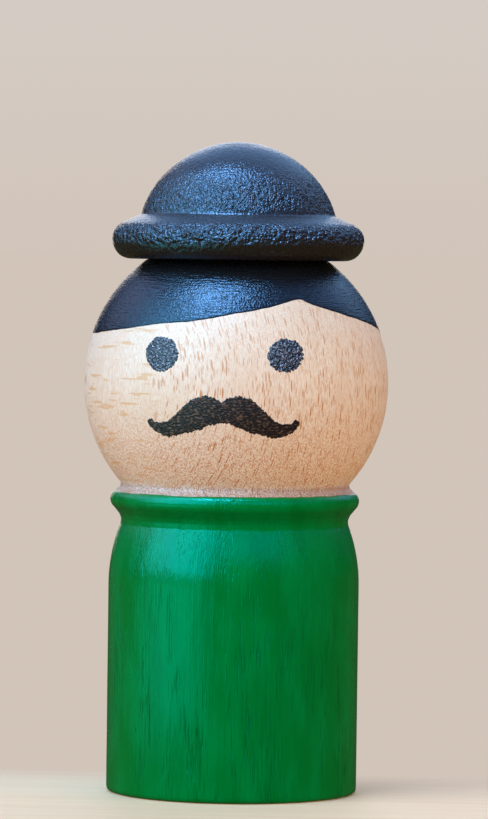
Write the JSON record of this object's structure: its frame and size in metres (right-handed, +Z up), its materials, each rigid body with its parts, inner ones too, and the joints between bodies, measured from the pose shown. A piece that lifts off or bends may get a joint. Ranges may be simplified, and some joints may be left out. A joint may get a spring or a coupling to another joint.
{
  "type": "turned peg figure",
  "caption": "Turned wooden peg figure with a green lacquered body, painted hair, a printed face and a bowler hat that lifts off and turns on a dowel.",
  "frame": {"origin": "centre of the flat base, on the turning axis", "axes": "+Z up along the turning axis, -Y the way the face looks, +X the figure's left"},
  "size_m": [0.0304, 0.0306, 0.065],
  "materials": {
    "beech": "bare turned beech, sanded",
    "green_lacquer": "gloss lacquer over fine grain",
    "hair_lacquer": "gloss black lacquer, brushed",
    "eye_ink": "printed ink, speckled",
    "moustache_ink": "printed ink, speckled",
    "hat_lacquer": "turned wood under thick gloss black lacquer, stippled",
    "dowel_beech": "bare dowel"
  },
  "bodies": {
    "figure": {"turned_figure": "beech", "green_coat": "green_lacquer", "hair_coat": "hair_lacquer", "left_eye_print": "eye_ink", "right_eye_print": "eye_ink", "moustache_print": "moustache_ink"},
    "dowel": {"hat_pin": "dowel_beech"},
    "bowler": {"hat": "hat_lacquer"}
  },
  "joints": [
    {"name": "hat_lift", "type": "slide", "parent": "figure", "child": "dowel", "axis": [0, 0, 1], "range_m": [0, 0.012]},
    {"name": "hat_turn", "type": "hinge", "parent": "dowel", "child": "bowler", "pos_m": [0, 0, 0.0532], "axis": [0, 0, 1], "continuous": true}
  ]
}
